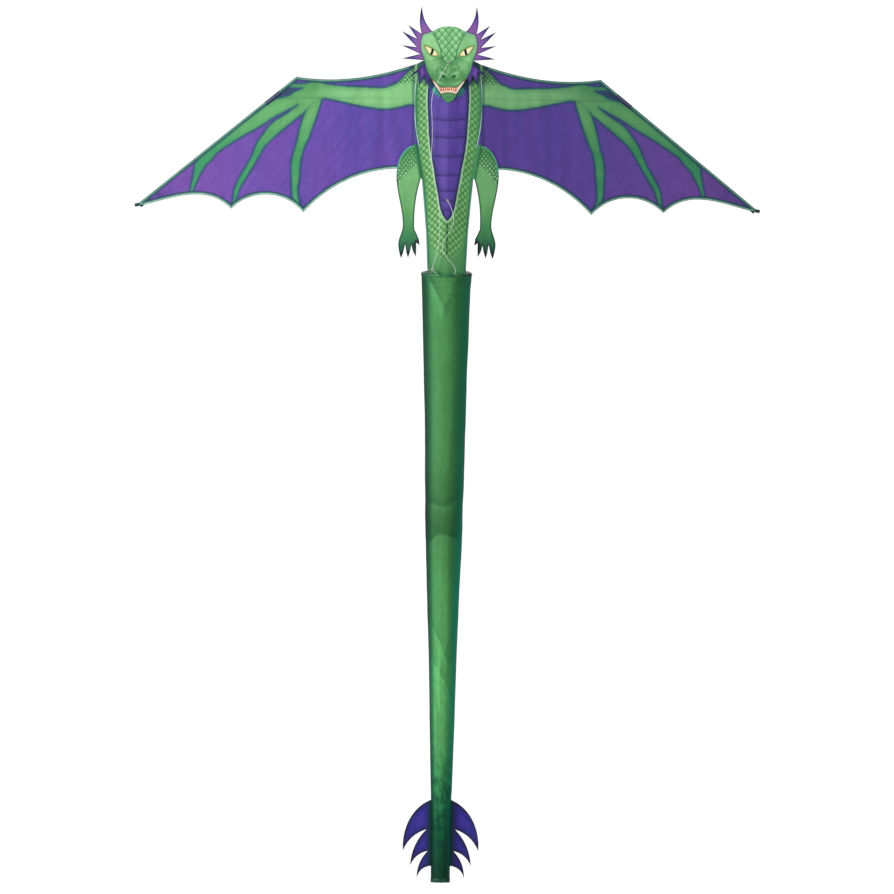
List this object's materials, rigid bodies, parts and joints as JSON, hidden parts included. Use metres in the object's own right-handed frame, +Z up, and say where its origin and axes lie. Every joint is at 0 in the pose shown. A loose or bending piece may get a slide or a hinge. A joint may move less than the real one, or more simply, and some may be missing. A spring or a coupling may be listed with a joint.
{
  "type": "dragon kite",
  "caption": "Single-line kite shaped like a horned dragon: scalloped bat wings on a folding rod frame, dangling clawed arms, and a long hooped windsock tail with fins.",
  "frame": {"origin": "the spar cross: the spine rod's axis at the height of the spreader rods", "axes": "+Z up along the spine towards the head, front of the kite (printed face) towards -Y, +X to the viewer's right when the front is looked at; the kite hangs by the spar cross"},
  "size_m": [1.41, 0.1619, 1.965],
  "materials": {
    "glass_rod": "satin fibreglass rod",
    "vinyl": "black vinyl",
    "hub_plastic": "moulded nylon",
    "pin_steel": "plain steel pin",
    "hoop_wire": "flexible plastic rod",
    "body_fabric": "printed ripstop, scaled flanks and purple belly",
    "head_fabric": "printed ripstop, dragon face",
    "wing_fabric": "printed ripstop, purple membrane with green fingers",
    "binding_fabric": "teal edge tape",
    "patch_fabric": "navy reinforcement",
    "pocket_fabric": "dark reinforcement cloth",
    "arm_fabric": "printed ripstop, green forearm and dark claws",
    "tail_fabric": "thin glossy green ripstop",
    "fin_fabric": "printed ripstop, purple with black outline",
    "hem_fabric": "dark green hem",
    "line": "white braided line",
    "ring_steel": "small plated ring",
    "eyelet_metal": "small plated eyelet"
  },
  "bodies": {
    "kite_body": {"spine_rod": "glass_rod", "spine_top_cap": "vinyl", "spine_bottom_cap": "vinyl", "spine_top_pocket": "pocket_fabric", "spine_bottom_pocket": "pocket_fabric", "spine_loops": "pocket_fabric", "centre_hub": "hub_plastic", "hub_pin_left": "pin_steel", "hub_pin_right": "pin_steel", "body_panel": "body_fabric", "head_panel": "head_fabric", "nose_eyelet": "eyelet_metal", "belly_eyelet": "eyelet_metal", "bridle_spine_loops": "line", "bridle_upper_leg": "line", "bridle_lower_leg": "line", "tow_knot": "line", "tow_ring": "ring_steel"},
    "spreader_left": {"spreader_socket_left": "vinyl", "spreader_rod_left": "glass_rod"},
    "wing_left": {"wing_sail_left": "wing_fabric", "wing_binding_left": "binding_fabric", "edge_patch_left": "patch_fabric", "leading_edge_rod_left": "glass_rod", "leading_edge_cap_left": "vinyl", "leading_edge_sleeve_left": "wing_fabric", "tip_pocket_left": "pocket_fabric", "leading_edge_connector_left": "vinyl"},
    "arm_left": {"arm_left": "arm_fabric"},
    "spreader_right": {"spreader_socket_right": "vinyl", "spreader_rod_right": "glass_rod"},
    "wing_right": {"wing_sail_right": "wing_fabric", "wing_binding_right": "binding_fabric", "edge_patch_right": "patch_fabric", "leading_edge_rod_right": "glass_rod", "leading_edge_cap_right": "vinyl", "leading_edge_sleeve_right": "wing_fabric", "tip_pocket_right": "pocket_fabric", "leading_edge_connector_right": "vinyl"},
    "arm_right": {"arm_right": "arm_fabric"},
    "tail_ties": {"tail_tie_left": "line", "tail_tie_right": "line"},
    "tail_upper": {"tail_hoop": "hoop_wire", "hoop_hem": "hem_fabric", "tail_sock_upper": "tail_fabric"},
    "tail_middle": {"tail_sock_middle": "tail_fabric"},
    "tail_lower": {"tail_sock_lower": "tail_fabric", "tail_end_hem": "hem_fabric"},
    "fin_left": {"fin_left": "fin_fabric"},
    "fin_right": {"fin_right": "fin_fabric"}
  },
  "joints": [
    {"name": "wing_fold_left", "type": "hinge", "parent": "kite_body", "child": "wing_left", "pos_m": [-0.073, 0.00431, 0], "axis": [0, 0, -1], "range_deg": [0, 80]},
    {"name": "spreader_fold_left", "type": "hinge", "parent": "kite_body", "child": "spreader_left", "pos_m": [-0.012, 0.006, 0], "axis": [0, 0, -1], "range_deg": [0, 80]},
    {"name": "arm_flap_left", "type": "hinge", "parent": "kite_body", "child": "arm_left", "pos_m": [-0.07214, 0.00216, -0.104], "axis": [-0.17, 0.0254, 0.9851], "range_deg": [0, 100]},
    {"name": "wing_fold_right", "type": "hinge", "parent": "kite_body", "child": "wing_right", "pos_m": [0.073, 0.00431, 0], "axis": [0, 0, 1], "range_deg": [0, 80]},
    {"name": "spreader_fold_right", "type": "hinge", "parent": "kite_body", "child": "spreader_right", "pos_m": [0.012, 0.006, 0], "axis": [0, 0, 1], "range_deg": [0, 80]},
    {"name": "arm_flap_right", "type": "hinge", "parent": "kite_body", "child": "arm_right", "pos_m": [0.07214, 0.00216, -0.104], "axis": [-0.17, -0.0254, -0.9851], "range_deg": [0, 100]},
    {"name": "tail_sway", "type": "hinge", "parent": "kite_body", "child": "tail_ties", "pos_m": [0, 0, -0.391], "axis": [0, 1, 0], "range_deg": [-15, 15]},
    {"name": "tail_swing", "type": "hinge", "parent": "tail_ties", "child": "tail_upper", "pos_m": [0, 0, -0.391], "axis": [1, 0, 0], "range_deg": [-15, 70]},
    {"name": "tail_flex_upper", "type": "hinge", "parent": "tail_upper", "child": "tail_middle", "pos_m": [0, 0, -0.82], "axis": [1, 0, 0], "range_deg": [-25, 25]},
    {"name": "tail_flex_lower", "type": "hinge", "parent": "tail_middle", "child": "tail_lower", "pos_m": [0, 0, -1.24], "axis": [0, 1, 0], "range_deg": [-25, 25]},
    {"name": "fin_flap_left", "type": "hinge", "parent": "tail_lower", "child": "fin_left", "pos_m": [-0.0232, 0, -1.647], "axis": [0, 0, -1], "range_deg": [-60, 60]},
    {"name": "fin_flap_right", "type": "hinge", "parent": "tail_lower", "child": "fin_right", "pos_m": [0.0232, 0, -1.647], "axis": [0, 0, 1], "range_deg": [-60, 60]}
  ],
  "couplings": [
    {"joint": "spreader_fold_left", "follows": "wing_fold_left", "ratio": 1},
    {"joint": "spreader_fold_right", "follows": "wing_fold_right", "ratio": 1}
  ]
}
